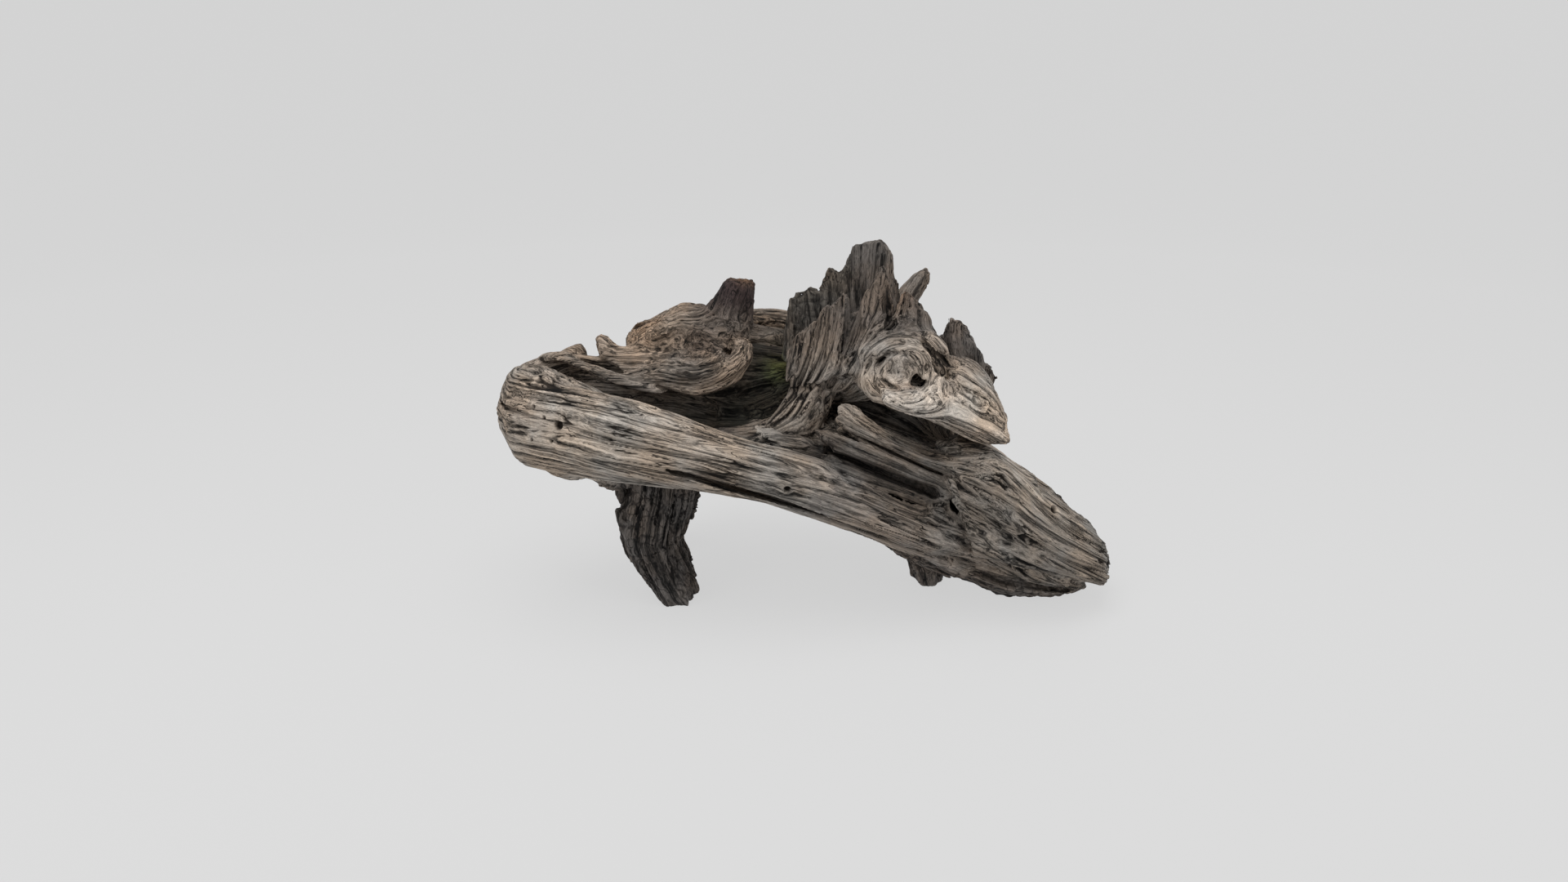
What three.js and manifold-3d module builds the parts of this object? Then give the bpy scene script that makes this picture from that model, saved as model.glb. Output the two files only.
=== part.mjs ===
// A piece of driftwood: a hollowed root crown that stands on its broken roots.
// X runs along the piece, Y away from its open side, Z up. Millimetres.
// It grew as one piece, so it is one closed body. Every foot is worn flat at z = 0.

import * as THREE from 'three';
import { mergeVertices } from 'three/addons/utils/BufferGeometryUtils.js';
import Module from 'manifold-3d';

const wasm = await Module();
wasm.setup();

// Driving dimensions. Places below are hundredths of these three, and thicknesses
// are half sizes in hundredths of the length, so the whole piece scales with them.
const length = 840;
const depth = 400;
const height = 490;

const sides = 14;
const ringsPerStation = 2;
const capShare = 0.5;

const UP = new THREE.Vector3(0, 0, 1);
const AWAY = new THREE.Vector3(0, 1, 0);

const wood = new THREE.MeshStandardMaterial({ color: 0x8a7a68, roughness: 0.85, metalness: 0 });

function place(along, across, up) {
  return new THREE.Vector3(along * length / 100, across * depth / 100, up * height / 100);
}

function girth(share) {
  return share * length / 100;
}

// Turns a closed three.js geometry into a solid that can be joined and cut.
function solid(geometry) {
  geometry.deleteAttribute('normal');
  geometry.deleteAttribute('uv');
  const merged = mergeVertices(geometry, 0.001);
  return new wasm.Manifold(new wasm.Mesh({
    numProp: 3,
    vertProperties: new Float32Array(merged.attributes.position.array),
    triVerts: new Uint32Array(merged.index.array),
  }));
}

// A rounded root along a curve. Each station is [along, across, up, half size in the
// direction of lean, half size across it]. Both ends close as blunt domes.
function root(stations, lean = UP) {
  const spine = new THREE.CatmullRomCurve3(stations.map(([x, y, z]) => place(x, y, z)));
  const sizes = new THREE.CatmullRomCurve3(
    stations.map(([, , , a, b]) => new THREE.Vector3(girth(a), girth(b), 0)));
  const capLength = capShare / (stations.length - 1);
  const rings = ringsPerStation * (stations.length - 1) + 2;
  const geometry = new THREE.SphereGeometry(1, sides, rings);
  const position = geometry.attributes.position;
  for (let i = 0; i < position.count; i++) {
    const t = Math.acos(THREE.MathUtils.clamp(position.getY(i), -1, 1)) / Math.PI;
    const turn = Math.atan2(position.getZ(i), position.getX(i));
    const tangent = spine.getTangent(t);
    const across = new THREE.Vector3().crossVectors(tangent, lean).normalize();
    const along = new THREE.Vector3().crossVectors(across, tangent);
    const size = sizes.getPoint(t);
    const toEnd = Math.min(t, 1 - t) / capLength;
    const dome = toEnd < 1 ? Math.sqrt(1 - (1 - toEnd) ** 2) : 1;
    const point = spine.getPoint(t)
      .addScaledVector(along, Math.cos(turn) * size.x * dome)
      .addScaledVector(across, Math.sin(turn) * size.y * dome);
    position.setXYZ(i, point.x, point.y, point.z);
  }
  return solid(geometry);
}

// A standing sheet of broken wood. Each station is [along, across, up of its foot,
// along, across, up of its torn edge], and it thins from its foot to that edge.
function sheet(stations, footGirth, edgeGirth, layers = 3) {
  const columns = stations.length - 1;
  const geometry = new THREE.BoxGeometry(1, 1, 1, columns, layers, 1);
  const position = geometry.attributes.position;
  const feet = stations.map(([x, y, z]) => place(x, y, z));
  const edges = stations.map(([, , , x, y, z]) => place(x, y, z));
  for (let i = 0; i < position.count; i++) {
    const column = Math.round((position.getX(i) + 0.5) * columns);
    const rise = position.getY(i) + 0.5;
    const before = Math.max(column - 1, 0);
    const after = Math.min(column + 1, columns);
    const run = new THREE.Vector3().subVectors(feet[after], feet[before]);
    const climb = new THREE.Vector3().subVectors(edges[column], feet[column]);
    const face = new THREE.Vector3().crossVectors(run, climb).normalize();
    const half = girth(THREE.MathUtils.lerp(footGirth, edgeGirth, rise));
    const point = feet[column].clone().lerp(edges[column], rise)
      .addScaledVector(face, 2 * position.getZ(i) * half);
    position.setXYZ(i, point.x, point.y, point.z);
  }
  return solid(geometry);
}

// The thick smooth root that wraps the left end and slopes down to the right.
function frontRoot() {
  return root([
    [14, 57, 60, 2.9, 2.4],
    [8, 53, 61, 4.3, 3],
    [3.8, 43, 59, 5.6, 4],
    [4, 31, 55, 7.2, 5],
    [12, 21, 55, 7.2, 5],
    [20, 16, 53.5, 6.6, 5],
    [31, 14, 49, 5.2, 4.8],
    [44, 14, 43.5, 4.4, 4.5],
    [56, 16, 36, 4.4, 4.5],
    [66, 20, 28, 4.7, 4.8],
    [74, 27, 21, 4, 4.2],
    [81, 34, 16, 2.4, 3],
  ]);
}

// A worn swelling under the left end, where a side root broke off.
function leftNub() {
  return root([
    [4, 34, 52, 4, 3.4],
    [9, 30, 45.5, 3.8, 4],
    [15, 26, 44, 3.2, 3.6],
  ]);
}

// The body of the crown, low behind the front root.
function heart() {
  return root([
    [15, 52, 52, 4, 5.5],
    [27, 50, 48, 5.5, 8],
    [41, 49, 43, 6.5, 10],
    [54, 48, 39, 7, 11],
    [67, 46, 32, 7.5, 11],
    [77, 43, 25, 7, 9],
  ]);
}

// Closes the trough below, between the front root and the heart.
function troughFloor() {
  return root([
    [7, 44, 55, 3.4, 4.4],
    [15, 36, 48, 4.4, 5.4],
    [27, 31, 45, 4.6, 6.4],
    [41, 31, 42, 4.2, 7],
    [54, 32, 37, 4.4, 7],
    [66, 33, 31, 4.6, 7],
  ]);
}

function backWall() {
  return root([
    [15, 57, 53, 5, 4],
    [25, 66, 55, 6.5, 5.5],
    [36, 72, 55, 7, 6],
    [46, 74, 53, 7.2, 6.5],
    [58, 72, 50, 7.8, 7],
    [68, 68, 46, 7, 6.5],
    [76, 62, 36, 6, 6],
  ]);
}

// The mass under the crest that carries its plates.
function shoulder() {
  return root([
    [46, 58, 60, 4.5, 6],
    [54, 57, 64, 6, 7],
    [62, 55, 66, 6.5, 7.5],
    [70, 53, 60, 6, 7],
    [77, 50, 50, 4.2, 6],
  ]);
}

function frontPlanks() {
  return root([
    [49, 31, 46, 4.5, 7],
    [57, 30, 42, 5.5, 7],
    [64, 29, 37, 6, 7],
    [72, 29, 31, 6, 7],
  ]);
}

// The worn block at the right that rests on the ground.
function endBlock() {
  return root([
    [67, 38, 27, 6.5, 7],
    [76, 36, 24.5, 9.8, 7.5],
    [84, 36, 18, 10.9, 7.2],
    [91, 38, 13, 8.2, 6.4],
    [96, 40, 11.5, 5.2, 4.6],
    [100, 41, 12, 2, 2.6],
  ]);
}

function leftLeg() {
  return root([
    [25, 38, 46, 6, 6],
    [24, 38, 32, 6, 6.3],
    [22.5, 37, 21.5, 6, 5.7],
    [22.8, 37, 14.5, 6, 5],
    [25.2, 37, 7, 6, 4.3],
    [27.2, 37, -7, 5.2, 3],
  ], AWAY);
}

function rearLeg() {
  return root([
    [24, 66, 46, 5, 5],
    [22.5, 71, 28, 4.6, 4.4],
    [22, 74, 12, 4.4, 3.8],
    [22, 77, -7, 4, 3.4],
  ], AWAY);
}

function footStub() {
  return root([
    [66.5, 44, 24, 3.6, 3.8],
    [68, 46, 11, 3.2, 3.3],
    [69, 47, 3, 2.8, 2.8],
    [69.5, 47, -6, 2.6, 2.4],
  ], AWAY);
}

function rearRoot() {
  return root([
    [28, 74, 56, 4.6, 4.6],
    [44, 80, 54, 4.8, 6],
    [60, 80, 46, 5, 6.6],
    [72, 76, 37, 5, 6],
    [78, 78, 25, 4.8, 5],
    [81, 82, 12, 4.4, 4.4],
    [82, 85, -7, 4.2, 4],
  ], AWAY);
}

// A broken root that points back from the hidden side.
function backSpur() {
  return root([
    [32, 74, 50, 6, 5.6],
    [26, 86, 45, 4.6, 4.4],
    [20, 97, 43, 2.8, 2.6],
  ]);
}

function knottyHump() {
  return root([
    [17, 62, 66, 2.4, 4.5],
    [22, 64, 70, 3.8, 6.5],
    [28, 66, 73, 4.4, 7],
    [35, 66, 70, 3.8, 6],
  ]);
}

function horn() {
  return root([
    [34, 64, 66, 4, 4.2],
    [34.8, 65, 74, 3.6, 3.9],
    [35.8, 66, 80, 2.8, 3.4],
    [37.2, 68, 85, 2.2, 2.4],
    [38, 69, 88, 1.4, 1.6],
  ], AWAY);
}

function farRim() {
  return root([
    [31, 76, 68, 2.4, 3],
    [37, 84, 71, 2, 2.6],
    [42, 88, 72, 1.8, 2.4],
    [47, 87, 70, 2, 2.6],
    [53, 80, 66, 3, 4],
  ]);
}

function rimWall() {
  return root([
    [32, 76, 62, 4.5, 3.4],
    [42, 84, 62, 4.8, 3.4],
    [52, 80, 58, 5.5, 4.5],
  ]);
}

// Lip of the first shell, behind the trough.
function innerShell() {
  return sheet([
    [6, 44, 59, 5.5, 45, 68],
    [9, 49, 55, 9, 50, 69],
    [14, 53, 50, 14, 54, 67],
    [19, 55, 48, 19, 55, 64],
    [24.5, 55, 47, 24.5, 55, 62],
    [29.5, 55, 46, 29.5, 54, 58.5],
    [33.5, 54, 45, 33.5, 54, 54.5],
  ], 1.3, 0.7);
}

function shellSplinter() {
  return sheet([
    [6, 46, 62, 6, 46, 68],
    [8.5, 52, 62, 8.5, 52, 70],
    [11, 57, 62, 11, 57, 72],
  ], 1, 0.4, 2);
}

// Rolled lip of the second shell, with its spike at the left.
function upperLip() {
  return root([
    [13.5, 57, 74, 0.6, 1],
    [15.5, 56, 69, 1.5, 2.4],
    [20.5, 54, 66.5, 1.6, 3.2],
    [26, 51, 64, 1.6, 3.4],
    [31.5, 49, 62.5, 1.6, 3.4],
    [36, 49, 66, 1.6, 2.8],
    [37.5, 53, 70, 1.3, 2.2],
    [36, 58, 73, 1, 1.6],
  ]);
}

function recessLedge() {
  return root([
    [37, 67, 71, 1.6, 2.4],
    [41.5, 66, 71.5, 1, 1.6],
    [46, 64, 70, 1.6, 2.4],
  ]);
}

function flowingColumn() {
  return root([
    [50, 50, 66, 3, 3],
    [48.5, 43, 58, 2.8, 3.4],
    [46, 37, 52, 2.2, 4.4],
    [44, 31, 47, 1.8, 5],
  ], AWAY);
}

// Torn back plate of the crest, the tallest wood of the piece.
function backCrest() {
  return sheet([
    [45, 57, 66, 45.5, 57, 76],
    [46, 57, 66, 46, 59, 86],
    [48.5, 57, 66, 48.5, 60, 87],
    [50.5, 57, 66, 50.5, 61, 85.5],
    [52, 57, 66, 52, 62, 91.5],
    [54, 57, 66, 54, 62, 89.5],
    [55.5, 57, 66, 55.5, 62, 96],
    [57, 56, 66, 57, 62, 96],
    [58.5, 55, 66, 58.5, 61, 99],
    [60.5, 54, 66, 60.5, 59, 100],
    [62, 53, 66, 61.8, 57, 96],
    [63, 52, 66, 62.6, 56, 83],
  ], 1.8, 0.7);
}

// Front plate of the crest, torn into three points.
function frontCrest() {
  return sheet([
    [45, 46, 62, 45, 49, 70],
    [47, 45, 62, 47, 49, 76.5],
    [49, 44, 63, 49, 50, 77.5],
    [51, 43, 64, 51, 50, 80.5],
    [54.5, 43, 65, 54.5, 50, 86.5],
    [56, 43, 65, 56, 48, 80],
    [57.5, 43, 65, 57.5, 48, 87],
    [60, 42, 66, 60, 48, 97],
    [61, 42, 66, 61, 48, 90],
    [62.5, 42, 66, 62.5, 47, 82],
    [64.5, 42, 66, 64.5, 47, 87],
    [66, 42, 66, 66, 46, 84],
    [68, 43, 65, 68, 45, 78],
    [70, 44, 62, 70, 45, 73],
  ], 2.6, 0.8);
}

function rearSpike() {
  return sheet([
    [62, 65, 70, 62, 68, 78],
    [64, 66, 72, 64, 69, 83],
    [66.5, 69, 79, 66.5, 71, 87],
    [69, 72, 86, 69.2, 73, 90],
  ], 1.2, 0.5, 2);
}

function rearFin() {
  return sheet([
    [69, 50, 60, 70.5, 53, 76],
    [70.5, 51, 60, 71, 54, 80],
    [72.5, 51, 59, 73, 54, 77.5],
    [74.5, 50, 57, 75, 54, 74],
    [75.5, 49, 55, 76.5, 53, 69],
    [76.5, 48, 53, 78.6, 50, 62],
  ], 2, 0.8);
}

// The rounded lobe at the right, which folds down over the mouth.
function snout() {
  return root([
    [55.5, 41, 63, 2.6, 4.8],
    [63, 38, 65.5, 4.8, 6.5],
    [70, 37, 61, 5, 7.2],
    [75.5, 36, 55, 4, 6],
    [80, 34, 49, 1.8, 4],
  ]);
}

function lowerLip() {
  return root([
    [53, 33, 59, 0.8, 3],
    [56.5, 29, 54, 0.9, 3.8],
    [63, 27, 49, 1, 4.4],
    [69.5, 26, 44.5, 1, 4.4],
    [75, 27, 43.5, 1, 3.6],
    [78, 30, 46, 0.9, 2.6],
  ]);
}

// Hollow between the front root and the shells.
function trough() {
  return root([
    [8, 42, 66, 1.6, 1.8],
    [14, 41, 61.5, 3, 3.4],
    [22.5, 42, 58, 4, 4.6],
    [33, 46, 56, 5, 6],
    [41, 52, 57, 5.4, 5.6],
    [45.5, 56, 58, 3.6, 3.4],
  ]);
}

function bigHollow() {
  return root([
    [40, 60, 74, 3, 4],
    [41, 58, 66, 3.4, 4.5],
    [41, 53, 57, 4, 4],
  ], AWAY);
}

function mouth() {
  return root([
    [54, 32, 60.5, 0.9, 4],
    [63, 27, 54.5, 1.3, 5.5],
    [71, 25, 49, 1.5, 5.5],
    [77, 25, 46.5, 1, 4.5],
  ]);
}

function knotEye() {
  return root([
    [65, 14, 61.5, 0.9, 1.2],
    [64.5, 40, 64, 0.8, 1.1],
  ]);
}

// Everything below the ground, so that the feet are flat.
function ground() {
  const slab = new THREE.BoxGeometry(3 * length, 3 * depth, height);
  slab.translate(0, 0, -height / 2);
  return solid(slab);
}

function join(solids) {
  return solids.reduce((whole, next) => whole.add(next));
}

function driftwoodSolid() {
  const mass = join([
    frontRoot(), leftNub(), heart(), troughFloor(), backWall(), frontPlanks(), knottyHump(),
    rimWall(),
  ]);
  const hollowed = mass.subtract(trough()).subtract(bigHollow());
  const face = join([shoulder(), snout()]).subtract(mouth()).subtract(knotEye());
  const crown = [backCrest(), frontCrest(), rearSpike(), rearFin(), horn()];
  const rims = [farRim(), innerShell(), shellSplinter(), upperLip(), recessLedge(), lowerLip()];
  const roots = [endBlock(), leftLeg(), rearLeg(), footStub(), rearRoot(), backSpur(), flowingColumn()];
  return join([hollowed, face, ...crown, ...rims, ...roots]).subtract(ground());
}

// Gives the solid back as a geometry with the middle of its footprint at the origin.
function centred(whole) {
  const mesh = whole.getMesh();
  const geometry = new THREE.BufferGeometry();
  geometry.setAttribute('position', new THREE.BufferAttribute(mesh.vertProperties, 3));
  geometry.setIndex(new THREE.BufferAttribute(mesh.triVerts, 1));
  geometry.computeBoundingBox();
  const middle = geometry.boundingBox.getCenter(new THREE.Vector3());
  geometry.translate(-middle.x, -middle.y, -geometry.boundingBox.min.z);
  geometry.computeVertexNormals();
  return geometry;
}

const driftwood = new THREE.Mesh(centred(driftwoodSolid()), wood);
driftwood.name = 'driftwood';

const group = new THREE.Group();
group.add(driftwood);

export default group;
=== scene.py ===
import math
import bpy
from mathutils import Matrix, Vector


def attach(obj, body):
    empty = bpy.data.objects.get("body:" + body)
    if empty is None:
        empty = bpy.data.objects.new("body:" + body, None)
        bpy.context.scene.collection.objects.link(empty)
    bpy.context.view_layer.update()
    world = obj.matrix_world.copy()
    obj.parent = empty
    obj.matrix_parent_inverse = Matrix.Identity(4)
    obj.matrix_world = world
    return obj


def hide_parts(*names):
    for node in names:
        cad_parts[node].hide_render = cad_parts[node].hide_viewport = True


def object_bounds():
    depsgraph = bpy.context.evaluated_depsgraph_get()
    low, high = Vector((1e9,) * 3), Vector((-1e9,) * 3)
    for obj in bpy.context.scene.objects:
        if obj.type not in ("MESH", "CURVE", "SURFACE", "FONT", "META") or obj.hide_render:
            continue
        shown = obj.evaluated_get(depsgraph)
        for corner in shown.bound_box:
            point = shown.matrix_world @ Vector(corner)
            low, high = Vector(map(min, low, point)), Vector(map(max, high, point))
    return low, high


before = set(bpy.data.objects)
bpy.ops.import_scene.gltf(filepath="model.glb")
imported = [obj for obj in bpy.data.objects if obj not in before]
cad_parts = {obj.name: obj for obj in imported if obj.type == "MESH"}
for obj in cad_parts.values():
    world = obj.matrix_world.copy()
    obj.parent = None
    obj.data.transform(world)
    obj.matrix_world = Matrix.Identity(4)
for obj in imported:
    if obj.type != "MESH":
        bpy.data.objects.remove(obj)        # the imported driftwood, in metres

from concurrent.futures import ThreadPoolExecutor
import bpy
import numpy as np
import openvdb
from mathutils import Vector

cadLow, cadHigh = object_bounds()
low = np.array(cadLow)
size = np.array(cadHigh) - low
length = size[0]


def spot(places):
    # places are hundredths of the box: along it, away from the open side, and up
    return low + np.atleast_2d(np.array(places, float)) * size / 100


def hundredths(share):
    return share * length / 100


# camera, floor and light
studio = {
    "aimAt": (45, 22.6, 50.6),
    "elevation": 20,
    "distance": 1.647,          # in lengths of the piece
    "lens": 24.45,
    "floorColour": (0.12, 0.12, 0.12, 1),
    "floorGlow": 0.575,         # the paper is lit from behind, so that it stays even
    "floorRadius": 3.0,
    "floorSides": 96,
    "floorBend": 2.0,
    "bendSteps": 16,
    "wallHeight": 2.6,
    "skyStrength": 0.42,
}
lights = {                      # place, strength and width
    "topSoft": ((-0.2, -0.3, 2.0), 22, 1.6),
    "leftSoft": ((-1.8, -1.4, 1.2), 9, 1.2),
    "rightSoft": ((1.8, -1.2, 1.0), 8, 1.2),
}


def placeCamera():
    target = Vector(spot(studio["aimAt"])[0])
    tilt = math.radians(studio["elevation"])
    back = Vector((0, -math.cos(tilt), math.sin(tilt)))
    cameraData = bpy.data.cameras.new("camera")
    cameraData.lens = studio["lens"]
    cameraData.sensor_width = 36
    camera = bpy.data.objects.new("camera", cameraData)
    camera.location = target + back * studio["distance"] * length
    camera.rotation_mode = "QUATERNION"
    camera.rotation_quaternion = (-back).to_track_quat("-Z", "Y")
    bpy.context.scene.collection.objects.link(camera)
    bpy.context.scene.camera = camera


def areaLight(name, place, strength, width):
    lightData = bpy.data.lights.new(name, "AREA")
    lightData.energy = strength
    lightData.size = width
    lamp = bpy.data.objects.new(name, lightData)
    lamp.location = place
    aim = Vector((0, 0, 0.25)) - Vector(place)
    lamp.rotation_mode = "QUATERNION"
    lamp.rotation_quaternion = aim.to_track_quat("-Z", "Y")
    bpy.context.scene.collection.objects.link(lamp)


def placeStudio():
    floorMesh = bpy.data.meshes.new("floor")
    flat, bend, sides = studio["floorRadius"], studio["floorBend"], studio["floorSides"]
    profile = [(0.0, 0.0), (flat * 0.5, 0.0), (flat, 0.0)]
    for step in range(1, studio["bendSteps"] + 1):      # the floor turns up into a wall, with no line behind
        angle = step / studio["bendSteps"] * math.pi / 2
        profile.append((flat + bend * math.sin(angle), bend * (1 - math.cos(angle))))
    profile.append((flat + bend, studio["wallHeight"]))
    turns = [k * 2 * math.pi / sides for k in range(sides)]
    ringPoints = [(r * math.cos(t), r * math.sin(t), h) for r, h in profile[1:] for t in turns]
    ringFaces = [(1 + i * sides + k, 1 + (i + 1) * sides + k, 1 + (i + 1) * sides + (k + 1) % sides,
                  1 + i * sides + (k + 1) % sides) for i in range(len(profile) - 2) for k in range(sides)]
    middleFaces = [(0, 1 + k, 1 + (k + 1) % sides) for k in range(sides)]
    floorMesh.from_pydata([(0, 0, 0)] + ringPoints, [], middleFaces + ringFaces)
    floorMesh.shade_smooth()
    floor = bpy.data.objects.new("floor", floorMesh)
    bpy.context.scene.collection.objects.link(floor)
    paper = bpy.data.materials.new("palePaper")
    paper.use_nodes = True
    shader = paper.node_tree.nodes["Principled BSDF"]
    shader.inputs["Base Color"].default_value = studio["floorColour"]
    shader.inputs["Roughness"].default_value = 0.95
    shader.inputs["Emission Color"].default_value = (1, 1, 1, 1)
    shader.inputs["Emission Strength"].default_value = studio["floorGlow"]
    floorMesh.materials.append(paper)
    world = bpy.data.worlds.new("studioSky")
    world.use_nodes = True
    sky = world.node_tree.nodes["Background"]
    sky.inputs["Color"].default_value = (1, 1, 1, 1)
    sky.inputs["Strength"].default_value = studio["skyStrength"]
    bpy.context.scene.world = world
    bpy.context.scene.view_settings.view_transform = "Standard"
    for name, light in lights.items():
        areaLight(name, *light)


placeCamera()
placeStudio()
print("camera and studio placed")

# solid wood as a field of distances
block = {
    "voxel": 0.003,
    "band": 8,                  # cells of distance kept each side of the surface
    "margin": 0.03,
    "softenCad": 1,             # rounds of smoothing on the plain body
    "rootSides": 14,            # points round each root form
    "rootRings": 5,             # rings for each stretch between stations
    "sheetRows": 6,             # rows from the foot of a torn plate to its edge
}
voxel = block["voxel"]
band = block["band"] * voxel
gridFirst = np.floor((low - block["margin"]) / voxel).astype(int)
gridCount = np.ceil((size + 2 * block["margin"]) / voxel).astype(int) + 1
transform = openvdb.createLinearTransform(voxelSize=voxel)


def curveThrough(points, count):
    # smooth curve through the points, which stand at equal steps along it
    points = np.asarray(points, float)
    padded = np.vstack([2 * points[0] - points[1], points, 2 * points[-1] - points[-2]])
    t = np.linspace(0, len(points) - 1, count)
    i = np.minimum(t.astype(int), len(points) - 2)
    f = (t - i)[:, None]
    a, b, c, d = padded[i], padded[i + 1], padded[i + 2], padded[i + 3]
    square, cube = 2 * a - 5 * b + 4 * c - d, 3 * b - a - 3 * c + d
    return 0.5 * (2 * b + (c - a) * f + square * f ** 2 + cube * f ** 3)


def rootForm(stations):
    # rounded root: each station is its place and its half sizes upright and level
    stations = np.asarray(stations, float)
    sides = block["rootSides"]
    count = block["rootRings"] * (len(stations) - 1) + 1
    spine = curveThrough(spot(stations[:, :3]), count)
    girth = np.maximum(curveThrough(hundredths(stations[:, 3:5]), count), 0.0008)
    t = np.linspace(0, 1, count)
    cap = 0.5 / (len(stations) - 1)
    toEnd = np.clip(np.minimum(t, 1 - t) / cap, 0.02, 1)
    girth = girth * np.sqrt(1 - (1 - toEnd) ** 2)[:, None]
    tangent = np.gradient(spine, axis=0)
    tangent /= np.linalg.norm(tangent, axis=1)[:, None]
    across = np.cross(tangent, (0, 0, 1))
    across /= np.linalg.norm(across, axis=1)[:, None]
    along = np.cross(across, tangent)
    turn = np.arange(sides) * 2 * math.pi / sides
    rings = spine[:, None] + along[:, None] * (np.cos(turn)[:, None] * girth[:, None, 0:1]) \
        + across[:, None] * (np.sin(turn)[:, None] * girth[:, None, 1:2])
    points = np.vstack([rings.reshape(-1, 3), spine[:1], spine[-1:]])
    ring = np.arange(count - 1)[:, None] * sides
    k = np.arange(sides)
    n = (k + 1) % sides
    quads = np.stack([ring + k, ring + n, ring + sides + n, ring + sides + k], -1).reshape(-1, 4)
    first, last = len(points) - 2, len(points) - 1
    end = (count - 1) * sides
    triangles = np.vstack([np.stack([np.full(sides, first), n, k], -1),
                           np.stack([np.full(sides, last), end + k, end + n], -1)])
    return points, quads, triangles


def sheetForm(stations, footGirth, edgeGirth):
    # standing sheet of torn wood: each station is the place of its foot, then of its edge
    stations = np.asarray(stations, float)
    feet, edges = spot(stations[:, :3]), spot(stations[:, 3:6])
    rows, columns = block["sheetRows"], len(stations)
    run = np.gradient(feet, axis=0)
    face = np.cross(run, edges - feet)
    face /= np.linalg.norm(face, axis=1)[:, None]
    rise = np.linspace(0, 1, rows)[:, None, None]
    middle = feet * (1 - rise) + edges * rise
    half = hundredths(footGirth + (edgeGirth - footGirth) * rise)
    points = np.concatenate([middle - face * half, middle + face * half]).reshape(-1, 3)
    index = np.arange(2 * rows * columns).reshape(2, rows, columns)

    def patch(grid):
        return np.stack([grid[:-1, :-1], grid[:-1, 1:], grid[1:, 1:], grid[1:, :-1]], -1).reshape(-1, 4)

    faces = [patch(index[1]), patch(index[0][:, ::-1]), patch(index[:, 0, :]), patch(index[::-1, -1, :]),
             patch(index[:, :, -1]), patch(index[::-1, :, 0])]
    return points, np.vstack(faces), None


def distances(form):
    # the form's own window of the block, with its distances inside
    points, quads, triangles = form
    first = np.floor((points.min(0) - band) / voxel).astype(int)
    last = np.ceil((points.max(0) + band) / voxel).astype(int)
    first = np.maximum(first, gridFirst)
    last = np.minimum(last, gridFirst + gridCount - 1)
    level = openvdb.FloatGrid.createLevelSetFromPolygons(
        points.astype(np.float32), quads=quads.astype(np.uint32),
        triangles=None if triangles is None else triangles.astype(np.uint32),
        transform=transform, halfWidth=block["band"])
    window = np.empty(last - first + 1, np.float32)
    level.copyToArray(window, ijk=tuple(int(v) for v in first))
    start = first - gridFirst
    return tuple(slice(s, s + c) for s, c in zip(start, window.shape)), window


def softMin(a, b, blend):
    h = np.clip(0.5 + 0.5 * (b - a) / blend, 0, 1)
    return b * (1 - h) + a * h - blend * h * (1 - h)


def planeDistance(where, point, normal):
    # signed distance from a plane over a window of the block
    first = gridFirst + [part.start for part in where]
    count = [part.stop - part.start for part in where]
    normal = np.array(normal, float) / np.linalg.norm(normal)
    axes = [((first[k] + np.arange(count[k])) * voxel - spot(point)[0, k]) * normal[k] for k in range(3)]
    return (axes[0][:, None, None] + axes[1][None, :, None] + axes[2][None, None, :]).astype(np.float32)


def join(body, form, blend, cuts=()):
    where, window = distances(form)
    for point, normal in cuts:
        window = np.maximum(window, planeDistance(where, point, normal))
    body[where] = softMin(body[where], window, blend)


def carve(body, form, blend):
    where, window = distances(form)
    body[where] = -softMin(-body[where], window, blend)


def soften(body, rounds):
    for _ in range(rounds):
        for axis in range(3):
            line = np.moveaxis(body, axis, 0)
            middle = line[1:-1].copy()
            middle += line[1:-1]
            middle += line[:-2]
            middle += line[2:]
            middle *= 0.25
            line[1:-1] = middle
    return body


def plainBody():
    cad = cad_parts["driftwood"].data
    points = np.empty(len(cad.vertices) * 3, np.float32)
    cad.vertices.foreach_get("co", points)
    cad.calc_loop_triangles()
    triangles = np.empty(len(cad.loop_triangles) * 3, np.int32)
    cad.loop_triangles.foreach_get("vertices", triangles)
    level = openvdb.FloatGrid.createLevelSetFromPolygons(
        points.reshape(-1, 3), triangles=triangles.reshape(-1, 3).astype(np.uint32),
        transform=transform, halfWidth=block["band"])
    body = np.empty(gridCount, np.float32)
    level.copyToArray(body, ijk=tuple(int(v) for v in gridFirst))
    return soften(body, block["softenCad"])


body = plainBody()
print("plain body read from the frame")

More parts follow.
